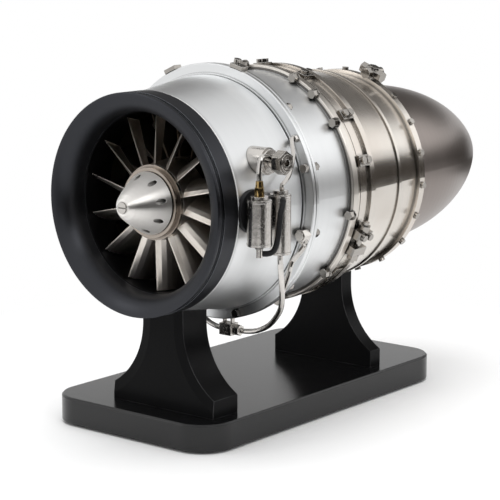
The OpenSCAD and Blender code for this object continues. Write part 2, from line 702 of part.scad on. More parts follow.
// Nozzle vanes in a ring that seats in the hot casing and on the shaft tunnel
nozzle_ring_t = 4;
shroud_r = turbine_r + tip_gap;
nozzle_camber_angle = 30;
nozzle_vane_t = 2.4;
module nozzle_ring() color(steel) {
    revolve_y() polygon([[shroud_r, nozzle_y], [hot_at(nozzle_y) - wall - seat_gap, nozzle_y],
        [hot_at(nozzle_y + nozzle_ring_t) - wall - seat_gap, nozzle_y + nozzle_ring_t],
        [shroud_r + nozzle_ring_t, nozzle_y + nozzle_ring_t], [shroud_r + nozzle_ring_t, turbine_end],
        [shroud_r, turbine_end]]);
    revolve_y() translate([tunnel_r + press_gap, nozzle_y])
        square([turbine_hub_r - tunnel_r - press_gap, nozzle_l]);
    vanes(nozzle_count, turbine_hub_r - root_sink, shroud_r + nozzle_ring_t / 3, nozzle_y + vane_inset,
        nozzle_l - 2 * vane_inset, nozzle_vane_t, -nozzle_camber_angle);
}

// Rotor

blade_turn = 115.3;
root_stagger_angle = 33;
tip_stagger_angle = 22;
blade_camber_share = 0.07;
blade_sections = 6;
blade_points = 6;
// Half thickness of a blade's section at a share of its chord
blade_thin_share = 0.35;
blade_edge_share = 0.12;
function lens(c) = max(2 * sqrt(c * (1 - c)) * (1 - blade_thin_share * c), blade_edge_share);
function blade_ring(s, root_r) = let (
        r = root_r + (fan_tip_r - root_r) * s,
        chord = root_chord + (tip_chord - root_chord) * s,
        t = root_t + (tip_t - root_t) * s,
        b = root_stagger_angle + (tip_stagger_angle - root_stagger_angle) * s,
        y0 = hub_y + blade_set + blade_lean * s,
        cs = concat([for (i = [0 : blade_points]) [i / blade_points, 1]],
                    [for (i = [blade_points - 1 : -1 : 1]) [i / blade_points, -1]]))
    [for (q = cs) let (
        u = chord * q[0],
        v = q[1] * t / 2 * lens(q[0]) - chord * blade_camber_share * 4 * q[0] * (1 - q[0]),
        a = blade_turn + (u * sin(b) - v * cos(b)) / r * 180 / PI)
        [r * cos(a), y0 + u * cos(b) + v * sin(b), r * sin(a)]];
root_sink = 3;
module fan() color(steel) {
    revolve_y() polygon([[shaft_r + press_gap, shaft_y0], [0, shaft_y0], [0, collar_y], [hub_r, collar_y],
        [hub_r, hub_y + blade_set], [hub_rear_r, hub_end], [shaft_r + press_gap, hub_end]]);
    on_axis() for (k = [0 : fan_count - 1]) rotate([0, 360 * k / fan_count, 0])
        skin([for (i = [0 : blade_sections]) blade_ring(i / blade_sections, hub_r - root_sink)]);
}

// A stepped collar between the spinner and the fan's hub
hub_rim_l = 3.2;
hub_rim_h = 2.6;
module hub_ring() color(nickel) {
    rod_y(hub_y, hub_ring_l, hub_r - hub_rim_h, hub_r - hub_rim_h);
    rod_y(collar_y - hub_rim_l, hub_rim_l, hub_r, hub_r);
}

spinner_steps = 8;
spinner_power = 0.8;
spinner_edge = 1.2;
spinner_hole_turn = 12;
spinner_y = hub_y - spinner_l;
function spinner_at(s) = spinner_tip_r + (spinner_r - spinner_tip_r) * pow(s, spinner_power);
spinner_bolt_sink = 3;
spinner_hole_d = 1.5;
module spinner() color(silver) difference() {
    revolve_y() polygon(concat([[0, hub_y], [0, spinner_y]],
        [for (i = [0 : spinner_steps]) [spinner_at(i / spinner_steps),
            spinner_y + (spinner_l - spinner_edge) * i / spinner_steps]],
        [[spinner_r - spinner_edge, hub_y]]));
    rod_y(spinner_y - over, spinner_bolt_sink + over, spinner_bolt_r + seat_gap, spinner_bolt_r + seat_gap);
    for (k = [0 : spinner_holes - 1])
        at_clock(spinner_hole_turn + 360 * k / spinner_holes, spinner_hole_pcr, spinner_y)
            rotate([-90, 0, 0]) cylinder(h = spinner_l - spinner_hole_d, r = spinner_hole_r);
}

bolt_head_h = 4.4;
bolt_slot = 1.6;
module spinner_bolt() color(steel) difference() {
    rod_y(spinner_y + spinner_bolt_sink - bolt_head_h, bolt_head_h, spinner_bolt_r, spinner_bolt_r);
    on_axis() translate([0, spinner_y + spinner_bolt_sink - bolt_head_h, 0])
        cube([3 * spinner_bolt_r, 2 * bolt_slot, bolt_slot], center = true);
}

module main_shaft() color(steel) rod_y(shaft_y0, shaft_y1 - shaft_y0 - shaft_r / 3, shaft_r, shaft_r);

turbine_blade_t = 2.2;
turbine_camber_angle = 38;
turbine_web = 8;
module turbine_wheel() color(bronze) {
    revolve_y() polygon([[shaft_r + press_gap, turbine_y], [turbine_hub_r, turbine_y],
        [turbine_hub_r, turbine_end], [turbine_hub_r - turbine_web, turbine_end],
        [2 * shaft_r, turbine_end - turbine_web / 2],
        [shaft_r + press_gap, turbine_end - turbine_web / 2]]);
    vanes(turbine_count, turbine_hub_r - root_sink, turbine_r, turbine_y + vane_inset,
        turbine_w - 2 * vane_inset, turbine_blade_t, turbine_camber_angle);
}

// Corner radius of a small nut for each unit of its thread's radius
nut_share = 1.7;
module shaft_nut() color(steel) difference() {
    on_axis() translate([0, turbine_end - turbine_web / 2, 0]) hex_y(nut_h, nut_share * shaft_r);
    rod_y(turbine_end - turbine_web, 2 * turbine_web + nut_h, shaft_r + press_gap, shaft_r + press_gap);
}

// Fuel fittings on the +X side

// The outer form of the intake lip and the front casing, for cutting seats
module casing_cut() {
    rod_y(lip_y, lip_l + over, lip_r + seat_gap, lip_r + seat_gap);
    rod_y(front_y, rim_w, rim_r + seat_gap, rim_r + seat_gap);
    rod_y(front_y, flange_y - front_y, front_at(front_y) + seat_gap, front_at(flange_y) + seat_gap);
}

pad_face = valve_out - valve_front_r - seat_gap;
module valve_pad() color(rubber) difference() {
    on_axis() translate([0, pad_y, 0]) rod_x(pad_face, pad_r);
    casing_cut();
}

bracket_w = 12;
bracket_h = 20;
module valve_bracket() color(steel) difference() {
    on_axis() translate([0, valve_rear_y - bracket_w / 2 + pad_r / 4, -bracket_h])
        cube([valve_out, bracket_w, bracket_h]);
    casing_cut();
    on_axis() translate([valve_out, valve_rear_y, -valve_rear_h])
        cylinder(h = 2 * valve_rear_h, r = valve_rear_r + seat_gap);
    on_axis() translate([0, pad_y, 0]) rod_x(valve_out, pad_r + seat_gap);
}

// A canister with a stepped cap, standing on its lower end
cap_h = 3.5;
cap_share = 0.72;
rib_h = 1.2;
rib_out = 0.35;
module canister(y, top, h, r) on_axis() translate([valve_out, y, top - h]) {
    cylinder(h = h, r = r);
    translate([0, 0, h]) cylinder(h = cap_h, r = r * cap_share);
    translate([0, 0, h - 2 * rib_h]) cylinder(h = rib_h, r = r + rib_out);
    translate([0, 0, rib_h]) cylinder(h = rib_h, r = r + rib_out);
}
module front_valve() color(steel) difference() {
    canister(valve_front_y, valve_front_top, valve_front_h, valve_front_r);
    on_axis() translate([0, pad_y, 0]) rod_x(pad_face, pad_r);
}
module rear_valve() color(steel) difference() {
    canister(valve_rear_y, valve_rear_top, valve_rear_h, valve_rear_r);
    casing_cut();
}

collar_hex_h = 8;
collar_neck_h = 6;
collar_r = 4.8;
collar_z = valve_front_top + cap_h;
collar_top = collar_z + collar_hex_h + collar_neck_h;
module brass_collar() color(brass) on_axis() translate([valve_out, valve_front_y, collar_z]) {
    hex(collar_hex_h, collar_r);
    cylinder(h = collar_hex_h + collar_neck_h, r1 = collar_r, r2 = elbow_r + rib_h / 2);
}

elbow_rise = 2 * elbow_r;
elbow_in = barrel_r / 2;
module elbow_tube() color(steel) difference() {
    on_axis() tube([[valve_out, valve_front_y, collar_top],
        [valve_out, valve_front_y, drum_up - elbow_rise],
        [valve_out, valve_front_y + elbow_r, drum_up + elbow_rise],
        [drum_out + barrel_l / 2, (valve_front_y + drum_y) / 2, drum_up + elbow_rise],
        [drum_out + barrel_l / 2, drum_y - elbow_in, drum_up + elbow_in]], elbow_r, [1, 0, 0], 4);
    on_axis() translate([0, drum_y, drum_up]) rod_x(drum_out + barrel_l, barrel_r + press_gap);
    on_axis() translate([0, drum_y, drum_up]) rod_x(drum_out + seat_gap, drum_r + seat_gap);
}

drum_step = 3;
module union_drum() color(steel) difference() {
    on_axis() translate([0, drum_y, drum_up]) {
        rod_x(drum_out - drum_step, drum_r);
        rod_x(drum_out, drum_r - drum_step / 2);
        rod_x(drum_out + barrel_l, barrel_r);
    }
    casing_cut();
    on_axis() translate([0, drum_y, drum_up]) rotate([0, -90, 0])
        cylinder(h = valve_out, r = drum_r + over);
}

module union_nut() color(steel) on_axis() translate([drum_out + barrel_l, drum_y, drum_up]) difference() {
    union() {
        rotate([0, 90, 0]) hex(nut_l, nut_r);
        rod_x(nut_l + rib_h, nut_r * cap_share);
    }
    translate([nut_l / 2, 0, 0]) rod_x(nut_l, nut_bore_r);
}

stub_r = 3.2;
stub_h = 11;
stub_nut_share = 1.4;
loop_out = 2.2;
stub_z = valve_front_top - valve_front_h - stub_h;
stub_nut_h = stub_h / 4;
module loop_stub() color(steel) on_axis() translate([valve_out, valve_front_y, stub_z]) {
    cylinder(h = stub_h, r = stub_r);
    translate([0, 0, stub_h - stub_nut_h]) hex(stub_nut_h, stub_r * stub_nut_share);
}
// The black pipe leaves the rear valve's side near its top and ends at the stub below the front valve
loop_x = valve_out + valve_rear_r + loop_out;
loop_start = valve_rear_top - 2 * loop_r;
loop_end = stub_z + loop_r + over;
loop_fall_shares = [0.25, 0.6, 0.88];
function loop_z(i) = loop_start + (loop_end - loop_start) * loop_fall_shares[i];
loop_mid_y = (valve_front_y + valve_rear_y) / 2;
loop_side = [1, 0.2, 0.1];
module black_pipe() color(rubber) difference() {
    on_axis() tube([[valve_out + valve_rear_r / 2, valve_rear_y - valve_rear_r / 2, loop_start],
        [valve_out + valve_rear_r * cap_share + loop_r,
            valve_rear_y - valve_rear_r * cap_share - loop_r / 2, loop_start],
        [loop_x, loop_mid_y, loop_z(0)], [loop_x, loop_mid_y - loop_r, loop_z(1)],
        [loop_x - loop_r / 2, loop_mid_y - 2 * loop_r, loop_z(2)],
        [valve_out + 2 * stub_r, (loop_mid_y + valve_front_y) / 2, loop_end],
        [valve_out, valve_front_y, loop_end]], loop_r, loop_side);
    on_axis() translate([valve_out, valve_rear_y, -valve_rear_h])
        cylinder(h = 2 * valve_rear_h, r = valve_rear_r + rib_out + seat_gap);
    on_axis() translate([valve_out, valve_front_y, -2 * valve_front_h])
        cylinder(h = 2 * valve_front_h, r = stub_r + seat_gap);
}

// Pipe tee under the front flange
tee_x = 19;
tee_w = 15;
tee_d = 12;
tee_h = 12;
tee_drop = 3;
tee_nut_l = 8;
tee_nut_r = 5.6;
tee_stud_r = 2.2;
tee_z = -flange_r - tee_drop - tee_h / 2;
tee_in = tee_x + tee_w / 2 + tee_nut_l;
module pipe_tee() color(steel) difference() {
    on_axis() {
        translate([tee_x, flange_y, tee_z]) cube([tee_w, tee_d, tee_h], center = true);
        translate([tee_x + tee_w / 2, flange_y, tee_z]) rotate([0, 90, 0]) hex(tee_nut_l, tee_nut_r);
        for (s = [-1, 1]) translate([tee_x + s * tee_w / 3, flange_y, tee_z])
            cylinder(h = flange_r / 4, r = tee_stud_r);
    }
    rod_y(flange_y - flange_t - over, 2 * flange_t + 2 * over, flange_r + press_gap, flange_r + press_gap);
}

// A hexagon fitting takes one bolt's place on the front flange
fitting_l = 10;
fitting_r = 6.4;
fitting_x = flange_bolt_pcr * cos(pipe_fitting_turn);
fitting_z = flange_bolt_pcr * sin(pipe_fitting_turn);
fitting_y = flange_y - flange_t - fitting_l;
module pipe_fitting() color(steel) difference() {
    on_axis() translate([fitting_x, fitting_y, fitting_z]) {
        hex_y(fitting_l, fitting_r);
        translate([0, -rib_h, 0]) rotate([-90, 0, 0]) cylinder(h = fitting_l, r = fitting_r * cap_share);
        translate([0, fitting_l / 2, -fitting_r - rib_h])
            cylinder(h = fitting_r, r = fitting_r * cap_share);
    }
    rod_y(flange_y - flange_t - flange_step - seat_gap, flange_step + flange_t,
        flange_step_r + seat_gap, flange_step_r + seat_gap);
}

// Two steel pipes join below the rear valve and run on to the tee
pipe_top = valve_rear_top - valve_rear_h;
pipe_fall = tee_z - pipe_top;
pipe_run_y = flange_y - valve_rear_y;
pipe_span = valve_out - tee_in;
pipe_fall_shares = [0.1, 0.26, 0.42, 0.57, 0.69, 0.84, 0.95, 1];
pipe_span_shares = [0, 0.02, 0.06, 0.13, 0.24, 0.44, 0.7, 0.93];
pipe_run_shares = [0, 0.08, 0.2, 0.34, 0.48, 0.66, 0.86, 1];
function pipe_at(i) = [valve_out - pipe_span * pipe_span_shares[i],
    valve_rear_y + pipe_run_y * pipe_run_shares[i], pipe_top + pipe_fall * pipe_fall_shares[i]];
module fuel_pipe() color(steel) on_axis() {
    tube(concat([[valve_out, valve_rear_y, pipe_top]],
        [for (i = [0 : len(pipe_fall_shares) - 1]) pipe_at(i)],
        [[tee_in, flange_y, tee_z]]), pipe_r, [0, 1, 0]);
    tube([[fitting_x, fitting_y + fitting_l / 2, fitting_z - fitting_r - rib_h - seat_gap],
        [fitting_x, fitting_y + fitting_l / 2, fitting_z - 2 * fitting_r],
        (pipe_at(1) + 2 * [fitting_x, fitting_y, fitting_z - 2 * fitting_r]) / 3 - [0, pipe_r, pipe_r],
        (2 * pipe_at(2) + [fitting_x, fitting_y, fitting_z - 2 * fitting_r]) / 3 + [0, 0, pipe_r],
        pipe_at(2)], pipe_r, [1, 0, 0]);
}

// A third pipe runs on from the tee to the flange's far side
cross_turn = 256;
cross_end_r = flange_r - 3 * pipe_r;
module cross_pipe() color(steel) difference() {
    on_axis() tube([[tee_x - tee_w / 2, flange_y, tee_z], [tee_x - tee_w, flange_y, tee_z],
        [tee_x - 2 * tee_w, flange_y, tee_z + 2 * pipe_r],
        [cross_end_r * cos(cross_turn), flange_y, cross_end_r * sin(cross_turn)]], pipe_r, [0, 1, 0]);
    rod_y(flange_y - flange_t - over, 2 * flange_t + 2 * over, flange_r + press_gap, flange_r + press_gap);
}

// A thin line climbs from the rear valve's cap to the front flange's face
line_turn = 30;
line_x = flange_bolt_pcr * cos(line_turn);
line_z = flange_bolt_pcr * sin(line_turn);
line_foot = valve_rear_top + cap_h;
line_end = flange_y - flange_t;
line_y = valve_rear_y + valve_rear_r / 4;
// Shares of the way across, along and up from the cap to the flange
line_shares = [[0, 0.25, 0.28], [0.4, 0.6, 0.66]];
function line_at(i) = [valve_out + (line_x - valve_out) * line_shares[i][0],
    line_y + (line_end - line_y) * line_shares[i][1], line_foot + (line_z - line_foot) * line_shares[i][2]];
module thin_line() color(steel) on_axis() {
    tube([[valve_out, line_y, line_foot], [valve_out, line_y, line_foot + 2 * line_r],
        line_at(0), line_at(1),
        [line_x, line_end - 3 * line_r, line_z], [line_x, line_end, line_z]], line_r, [1, 0, 0]);
    translate([line_x, line_end - 2 * line_r, line_z]) hex_y(2 * line_r, nut_share * line_r);
}

// Two lugs on top of the front flange, the near one with a knob
bracket_turns = [75.5, 114];
lug_w = 15;
lug_t = 2 * flange_t;
lug_h = 8;
knob_r = 3.6;
knob_h = 5;
module top_bracket() color(steel) difference() {
    for (a = bracket_turns) at_clock(a, flange_r - lug_h / 2, flange_y - lug_t / 2) {
        translate([0, 0, -lug_w / 2]) cube([lug_h, lug_t, lug_w]);
        if (a == bracket_turns[0]) translate([lug_h, lug_t / 2, lug_w / 5]) rod_x(knob_h, knob_r);
    }
    rod_y(flange_y - 2 * flange_t, 4 * flange_t, flange_r + press_gap, flange_r + press_gap);
}

// A cross fitting on top of the rear flange, with hexagon arms along and across the axis
cross_fit_turn = rear_screw_turn + cross_slot * 360 / rear_screws_n;
cross_stem_r = 6;
cross_stem_h = 14;
cross_arm_r = 5;
cross_arm_l = 28;
cross_cap_r = 6.2;
cross_cap_l = 7;
cross_mid = cross_stem_r + cross_stem_h / 2;
module cross_fitting() color(steel) difference() {
    at_clock(cross_fit_turn, rear_flange_r - cross_stem_r, rear_flange_y + rear_flange_t / 2) {
        rotate([0, 90, 0]) hex(cross_stem_r + cross_stem_h, cross_stem_r);
        translate([cross_mid, 0, -cross_arm_l / 2]) cylinder(h = cross_arm_l, r = cross_arm_r);
        for (s = [-1, 1]) translate([cross_mid, 0, s * (cross_arm_l - cross_cap_l) / 2 - cross_cap_l / 2])
            hex(cross_cap_l, cross_cap_r);
        translate([cross_mid, -cross_arm_l / 2, 0]) {
            rotate([-90, 0, 0]) cylinder(h = cross_arm_l, r = cross_arm_r);
            hex_y(cross_cap_l, cross_cap_r);
        }
    }
    rod_y(rear_flange_y - over, rear_flange_t + 2 * over, rear_flange_r + press_gap,
        rear_flange_r + press_gap);
}

base_plate();
rubber_feet();
front_pedestal();
rear_pedestal();
intake_lip();
front_casing();
mid_casing();
flange_bolts();
mid_bolts();
clamp_band();
band_clamps();
band_latch();
band_strip();
hot_casing();
rear_casing();
rear_screws();
exhaust_shell();
tail_cone();
stator_ring();
shaft_tunnel();
front_bearing();
rear_bearing();
nozzle_ring();
fan();
hub_ring();
spinner();
spinner_bolt();
main_shaft();
turbine_wheel();
shaft_nut();
valve_pad();
valve_bracket();
front_valve();
brass_collar();
elbow_tube();
rear_valve();
union_drum();
union_nut();
black_pipe();
loop_stub();
fuel_pipe();
pipe_fitting();
pipe_tee();
cross_pipe();
thin_line();
top_bracket();
cross_fitting();
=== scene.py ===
import math

import bpy
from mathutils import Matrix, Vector

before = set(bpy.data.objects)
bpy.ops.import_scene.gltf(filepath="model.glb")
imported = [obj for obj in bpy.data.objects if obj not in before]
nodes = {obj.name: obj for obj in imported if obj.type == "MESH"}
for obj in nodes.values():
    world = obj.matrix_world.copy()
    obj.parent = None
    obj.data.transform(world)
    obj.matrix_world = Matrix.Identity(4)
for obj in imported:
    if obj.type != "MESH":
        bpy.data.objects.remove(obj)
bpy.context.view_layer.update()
scene = bpy.context.scene

# Places on the casings in metres: radii about the rotor axis, and stations along it
AXIS_Z = 0.236
BORE_R = 0.1035
HOT_FACE_R = 0.1168
FLANGE_R = 0.1178
FLANGE_TOP_R = 0.1194
FLANGE_TOP_LEAD = 0.002
RIM_END_Y = -0.18285
RIM_SHADE_Y = (-0.1829, -0.1775)
HOT_FACE_Y = -0.0236
HOT_END_Y = -0.0222

# Tones of the bands on the casings, among them a painted highlight, painted shade and a painted shadow,
# how much of a tone shows, and changes of roughness
BORE_TONE = (0.03, 0.031, 0.034)
FLANGE_TONE = (0.12, 0.12, 0.12)
FLANGE_SHARE = 0.08
FLANGE_SMOOTH = 0.1
# Painted shadow on the flange face before the hot end
HOT_FACE_SHADE = (0.14, 0.132, 0.124)
# Painted highlight on the rim behind the lip
RIM_HIGHLIGHT = (0.97, 0.97, 0.97)
RIM_ROUGH = 0.5
# Painted shade on the casing just behind the rim
RIM_SHADE_TONE = (0.4, 0.405, 0.41)
RIM_SHADE_SHARE = 0.55

# Noise: stretch along X, Y and Z, scales, the part of its range that is used, and what it changes
RINGS = (3, 260, 3)
FINE_RINGS = (40, 2600, 40)
BLADE_STREAKS = (900, 60, 60)
TURNED_CLOUDS = 14.0
SATIN_CLOUDS = 24.0
BLADE_CLOUDS = 12.0
HEAT_CLOUDS = 9.0
HAND_WAVES = 160.0
FLOOR_GRAIN = 40.0
NOISE_ROUGH = 0.55
MIDDLE = (0.35, 0.65)
MOST = (0.3, 0.7)
HEAT_PART = (0.42, 0.75)
HIGHLIGHT_WEAR_PART = (0.35, 0.6)
HIGHLIGHT_WEAR_LEAST = 0.2
BROWN_PART = (0.4, 0.75)
BROWN_SHARE = 0.6
SATIN_SPREAD = 0.04
BLADE_SPREAD = 0.03

# Bumps: heights in metres, and the strengths that all materials of a kind share
RING_HEIGHT = 0.00006
GRAIN_HEIGHT = 0.0001
WAVE_HEIGHT = 0.0008
WAVE_STRENGTH = 0.18
STREAK_HEIGHT = 0.00003
STREAK_STRENGTH = 0.02

# Edges and corners: how far normals turn at an edge, how open a corner is, and the tones there: a
# painted highlight along edges and painted shade in corners
EDGE_TURN = (0.8, 0.99)
EDGE_HIGHLIGHT = 1.2
EDGE_HIGHLIGHT_SHARE = 0.5
BLADE_EDGE = 0.0009
BLADE_EDGE_ROUGH = 0.25
CORNER_OPEN = (0.3, 0.85)
CORNER_SHADE_SHARE = 0.85
CORNER_SHADE_TONE = 0.08
SATIN_SHADE_REACH = 0.004
ALONG_AXIS = 0.25

# Sockets of a Mix node that mixes colours
MIX_A = 6
MIX_B = 7
MIX_RESULT = 2


# Materials

class Mat:
    """A node material around one Principled shader, with short calls for common nodes."""

    def __init__(self, name, color, metallic, rough):
        self.data = bpy.data.materials.new(name)
        self.data.use_nodes = True
        self.tree = self.data.node_tree
        self.shader = self.tree.nodes["Principled BSDF"]
        self.color = color
        self.put("Base Color", (*color, 1))
        self.put("Metallic", metallic)
        self.put("Roughness", rough)

    def put(self, socket, value):
        self.shader.inputs[socket].default_value = value

    def wear(self, socket, output):
        self.link(output, self.shader.inputs[socket])

    def node(self, kind, **values):
        n = self.tree.nodes.new(kind)
        for key, value in values.items():
            setattr(n, key, value)
        return n

    def link(self, a, b):
        self.tree.links.new(a, b)

    def coords(self):
        return self.node("ShaderNodeTexCoord").outputs["Object"]

    def stretched(self, scale):
        n = self.node("ShaderNodeMapping")
        n.inputs["Scale"].default_value = scale
        self.link(self.coords(), n.inputs["Vector"])
        return n.outputs["Vector"]

    def noise(self, vector, scale, detail):
        n = self.node("ShaderNodeTexNoise")
        n.inputs["Scale"].default_value = scale
        n.inputs["Detail"].default_value = detail
        n.inputs["Roughness"].default_value = NOISE_ROUGH
        self.link(vector, n.inputs["Vector"])
        return n.outputs["Fac"]

    def span(self, value, low, high, start, end):
        n = self.node("ShaderNodeMapRange")
        n.inputs["From Min"].default_value = start
        n.inputs["From Max"].default_value = end
        n.inputs["To Min"].default_value = low
        n.inputs["To Max"].default_value = high
        self.link(value, n.inputs["Value"])
        return n.outputs["Result"]

    def math(self, kind, a, b=None):
        n = self.node("ShaderNodeMath", operation=kind)
        for k, v in enumerate((a, b)):
            if v is None:
                continue
            if isinstance(v, (int, float)):
                n.inputs[k].default_value = v
            else:
                self.link(v, n.inputs[k])
        return n.outputs["Value"]

    def mix(self, fac, a, b):
        n = self.node("ShaderNodeMix", data_type="RGBA")
        self.link(fac, n.inputs["Factor"])
        for k, v in ((MIX_A, a), (MIX_B, b)):
            if isinstance(v, tuple):
                n.inputs[k].default_value = (*v, 1)
            else:
                self.link(v, n.inputs[k])
        return n.outputs[MIX_RESULT]

    def bump(self, height, strength, distance, normal=None):
        n = self.node("ShaderNodeBump")
        n.inputs["Strength"].default_value = strength
        n.inputs["Distance"].default_value = distance
        self.link(height, n.inputs["Height"])
        if normal is not None:
            self.link(normal, n.inputs["Normal"])
        return n.outputs["Normal"]


def shade(color, k):
    return tuple(min(1.0, v * k) for v in color)


def varied(m, value, vary):
    """The material's colour, somewhat darker and lighter by a noise."""
    return m.mix(m.span(value, 0, 1, *MIDDLE), shade(m.color, 1 - vary), shade(m.color, 1 + vary))


def edge(m, size):
    """Rounded edges for the shading, and a mask that is 1 along sharp edges."""
    soft = m.node("ShaderNodeBevel", samples=6)
    soft.inputs["Radius"].default_value = size
    flat = m.node("ShaderNodeNewGeometry")
    dot = m.node("ShaderNodeVectorMath", operation="DOT_PRODUCT")
    m.link(soft.outputs["Normal"], dot.inputs[0])
    m.link(flat.outputs["Normal"], dot.inputs[1])
    return soft.outputs["Normal"], m.span(dot.outputs["Value"], 1, 0, *EDGE_TURN)


def corner_shaded(m, shades, reach):
    """Painted shade in corners and between parts, darker where ambient occlusion finds other surfaces
    near.
    """
    near = m.node("ShaderNodeAmbientOcclusion", samples=8)
    near.inputs["Distance"].default_value = reach
    return m.mix(m.span(near.outputs["AO"], CORNER_SHADE_SHARE, 0, *CORNER_OPEN), shades,
                 shade(m.color, CORNER_SHADE_TONE))


def turned(name, color, rough, vary, lines, cloud=0.06, tint=None, pull=0.0, shade_reach=0.005,
           round_edge=0.0005, wear_and_highlight=None):
    """Metal turned on a lathe: fine rings across the rotor axis, a faint cloudiness, edges painted
    lighter as a highlight and painted shade in corners.
    """
    m = Mat(name, color, 1.0, rough)
    if pull:
        around = m.node("ShaderNodeTangent", direction_type="RADIAL", axis="Y")
        m.wear("Tangent", around.outputs["Tangent"])
        m.put("Anisotropic", pull)
        m.put("Anisotropic Rotation", ALONG_AXIS)
    rings = m.noise(m.stretched(RINGS), 1.0, 4.0)
    fine = m.noise(m.stretched(FINE_RINGS), 1.0, 2.0)
    blot = m.noise(m.coords(), TURNED_CLOUDS, 5.0)
    both = m.math("ADD", m.math("MULTIPLY", rings, 0.5), m.math("MULTIPLY", blot, 0.5))
    shades = varied(m, both, vary)
    if tint:
        heat = m.noise(m.coords(), HEAT_CLOUDS, 3.0)
        shades = m.mix(m.span(heat, 0, 1, *HEAT_PART), shades, tint)
    normal, mask = edge(m, round_edge)
    # Edges painted lighter: a painted highlight
    shades = m.mix(m.math("MULTIPLY", mask, EDGE_HIGHLIGHT_SHARE), shades, wear_and_highlight or shade(color, EDGE_HIGHLIGHT))
    # Painted shade in corners and between parts
    m.shades = corner_shaded(m, shades, shade_reach)
    m.gloss = m.span(blot, rough - cloud / 2, rough + cloud / 2, *MOST)
    m.wear("Base Color", m.shades)
    m.wear("Roughness", m.gloss)
    m.wear("Normal", m.bump(m.math("ADD", rings, fine), lines, RING_HEIGHT, normal))
    return m


def satin(name, color, rough, vary, grain, lines, metallic=1.0, round_edge=0.0, wear_and_highlight=None):
    """Metal or paint with a fine even grain, rounded edges lightened along them as wear and as a painted
    highlight, and painted shade in corners on metal.
    """
    m = Mat(name, color, metallic, rough)
    fine = m.noise(m.coords(), grain, 3.0)
    blot = m.noise(m.coords(), SATIN_CLOUDS, 4.0)
    shades = varied(m, blot, vary)
    normal = None
    if round_edge:
        normal, mask = edge(m, round_edge)
        if wear_and_highlight:
            # Edges lightened in a ragged way: wear and a painted highlight
            ragged = m.math("MULTIPLY", mask, m.span(blot, HIGHLIGHT_WEAR_LEAST, 1.0, *HIGHLIGHT_WEAR_PART))
            shades = m.mix(ragged, shades, wear_and_highlight)
    normal = m.bump(fine, lines, GRAIN_HEIGHT, normal)
    if metallic:
        # Painted shade in corners and between parts
        shades = corner_shaded(m, shades, SATIN_SHADE_REACH)
        waves = m.noise(m.coords(), HAND_WAVES, 2.0)
        normal = m.bump(waves, WAVE_STRENGTH, WAVE_HEIGHT, normal)
    m.wear("Base Color", shades)
    m.wear("Roughness", m.span(fine, rough - SATIN_SPREAD, rough + SATIN_SPREAD, *MOST))
    m.wear("Normal", normal)
    return m


def brushed(name, color, rough, tint):
    """Blade steel, ground from root to tip, with a brown cast in places and matt edges painted lighter
    as a highlight.
    """
    m = Mat(name, color, 1.0, rough)
    streak = m.noise(m.stretched(BLADE_STREAKS), 1.0, 2.0)
    blot = m.noise(m.coords(), BLADE_CLOUDS, 2.0)
    normal, mask = edge(m, BLADE_EDGE)
    shades = m.mix(m.span(blot, 0, BROWN_SHARE, *BROWN_PART), color, tint)
    gloss = m.span(streak, rough - BLADE_SPREAD, rough + BLADE_SPREAD, *MOST)
    # Blade edges painted lighter: a painted highlight
    m.wear("Base Color", m.mix(mask, shades, shade(color, EDGE_HIGHLIGHT)))
    m.wear("Roughness", m.math("ADD", gloss, m.math("MULTIPLY", mask, BLADE_EDGE_ROUGH)))
    m.wear("Normal", m.bump(streak, STREAK_STRENGTH, STREAK_HEIGHT, normal))
    return m


# The lighter edge colours given below are painted highlights along edges, ragged like wear on satin
# pieces
lacquer = satin("black_lacquer", (0.003, 0.003, 0.0034), 0.3, vary=0.1, grain=1600.0, lines=0.1,
                metallic=0.0, round_edge=0.0012, wear_and_highlight=(0.13, 0.13, 0.134))
lacquer.put("Specular IOR Level", 0.07)
plate_mat = satin("plate_lacquer", (0.003, 0.003, 0.0034), 0.24, vary=0.1, grain=1600.0, lines=0.08,
                  metallic=0.0, round_edge=0.0012, wear_and_highlight=(0.035, 0.035, 0.037))
plate_mat.put("Specular IOR Level", 0.46)
rubber = satin("black_rubber", (0.008, 0.008, 0.009), 0.5, vary=0.1, grain=900.0, lines=0.15,
               metallic=0.0, round_edge=0.0006)
rubber.put("Specular IOR Level", 0.25)
lip_mat = turned("dark_anodised", (0.045, 0.0465, 0.052), 0.38, vary=0.05, lines=0.03, pull=0.8,
                 round_edge=0.001, wear_and_highlight=(0.42, 0.44, 0.48))
silver = turned("silver_casing", (0.8, 0.81, 0.815), 0.4, vary=0.02, lines=0.04, shade_reach=0.0022)
blade_mat = brushed("blade_steel", (0.8, 0.75, 0.69), 0.34, tint=(0.64, 0.55, 0.46))
spinner_mat = turned("spinner_steel", (0.93, 0.905, 0.87), 0.42, vary=0.03, lines=0.06, pull=0.85)
steel = satin("fitting_steel", (0.36, 0.34, 0.315), 0.12, vary=0.06, grain=600.0, lines=0.04,
              round_edge=0.0005, wear_and_highlight=(0.86, 0.85, 0.83))
tube_mat = satin("tube_steel", (0.6, 0.575, 0.545), 0.16, vary=0.06, grain=600.0, lines=0.04,
                 round_edge=0.0004, wear_and_highlight=(0.74, 0.73, 0.71))
nickel = turned("warm_nickel", (0.71, 0.67, 0.62), 0.22, vary=0.03, lines=0.03, cloud=0.05,
                tint=(0.61, 0.555, 0.5), pull=0.7)
hub_mat = turned("hub_steel", (0.4, 0.35, 0.305), 0.2, vary=0.04, lines=0.04)
bronze = turned("tail_bronze", (0.285, 0.249, 0.231), 0.33, vary=0.03, lines=0.02)
brass = satin("brass", (0.5, 0.35, 0.15), 0.2, vary=0.06, grain=600.0, lines=0.05,
              round_edge=0.0004, wear_and_highlight=(0.66, 0.5, 0.27))
valve_mat = satin("valve_steel", (0.66, 0.63, 0.595), 0.24, vary=0.06, grain=600.0, lines=0.015,
                  round_edge=0.0004, wear_and_highlight=(0.74, 0.73, 0.71))
inner = satin("inner_steel", (0.22, 0.185, 0.15), 0.4, vary=0.08, grain=400.0, lines=0.06)


